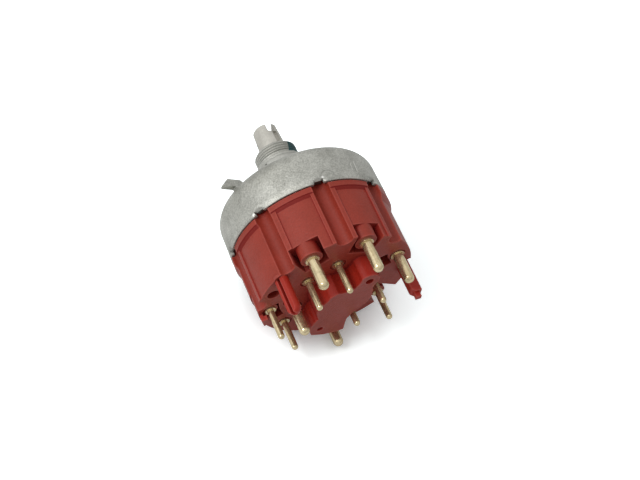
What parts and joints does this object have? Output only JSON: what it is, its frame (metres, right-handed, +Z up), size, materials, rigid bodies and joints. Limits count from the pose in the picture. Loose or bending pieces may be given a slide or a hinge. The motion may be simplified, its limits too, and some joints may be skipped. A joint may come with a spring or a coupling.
{
  "type": "headlight switch",
  "caption": "Round rotary and pull vehicle light switch: a cast cap with a threaded neck and keyed spindle over a moulded base with round terminal pins.",
  "frame": {"origin": "on the axis of the spindle, in the flat face of the cap that bears on the panel", "axes": "+Y along the spindle, out of the neck towards the driver; the terminal pins point to -Y; +Z is up, between the two pins that stand in side pockets"},
  "size_m": [0.0638, 0.0894, 0.0638],
  "materials": {
    "cap_metal": "die-cast zinc, dull and mottled",
    "spindle_metal": "die-cast zinc, dull",
    "base_moulding": "red moulding, slightly faded",
    "inner_moulding": "black moulding",
    "brass": "turned and stamped brass, lightly dulled",
    "spring_steel": "bright spring steel"
  },
  "bodies": {
    "housing": {"cap": "cap_metal", "base": "base_moulding", "thrust_washer": "spring_steel", "detent_ball_1": "spring_steel", "detent_ball_2": "spring_steel", "detent_spring_1": "spring_steel", "detent_spring_2": "spring_steel", "large_pin_1": "brass", "large_pin_2": "brass", "large_pin_3": "brass", "large_pin_4": "brass", "large_pin_5": "brass", "small_pin_1": "brass", "small_pin_2": "brass", "small_pin_3": "brass", "small_pin_4": "brass", "small_pin_5": "brass", "small_pin_6": "brass", "small_pin_7": "brass", "strip_large_1": "brass", "strip_large_2": "brass", "strip_large_3": "brass", "strip_large_5": "brass", "strip_small_3": "brass", "strip_small_4": "brass", "strip_small_7": "brass"},
    "rotor": {"rotor": "inner_moulding", "bridge_1": "brass", "bridge_2": "brass", "bridge_3": "brass", "bridge_spring_1": "spring_steel", "bridge_spring_2": "spring_steel", "bridge_spring_3": "spring_steel"},
    "spindle": {"spindle": "spindle_metal", "circlip": "spring_steel"},
    "carriage": {"carriage": "inner_moulding", "pull_contact": "brass"}
  },
  "joints": [
    {"name": "rotor_turn", "type": "hinge", "parent": "housing", "child": "rotor", "pos_m": [0, 0, 0], "axis": [0, 1, 0], "range_deg": [-60, 60]},
    {"name": "spindle_pull", "type": "slide", "parent": "rotor", "child": "spindle", "axis": [0, 1, 0], "range_m": [0, 0.01]},
    {"name": "carriage_slide", "type": "slide", "parent": "housing", "child": "carriage", "axis": [0, 1, 0], "range_m": [0, 0.01]}
  ],
  "couplings": [
    {"joint": "carriage_slide", "follows": "spindle_pull", "ratio": 1}
  ]
}
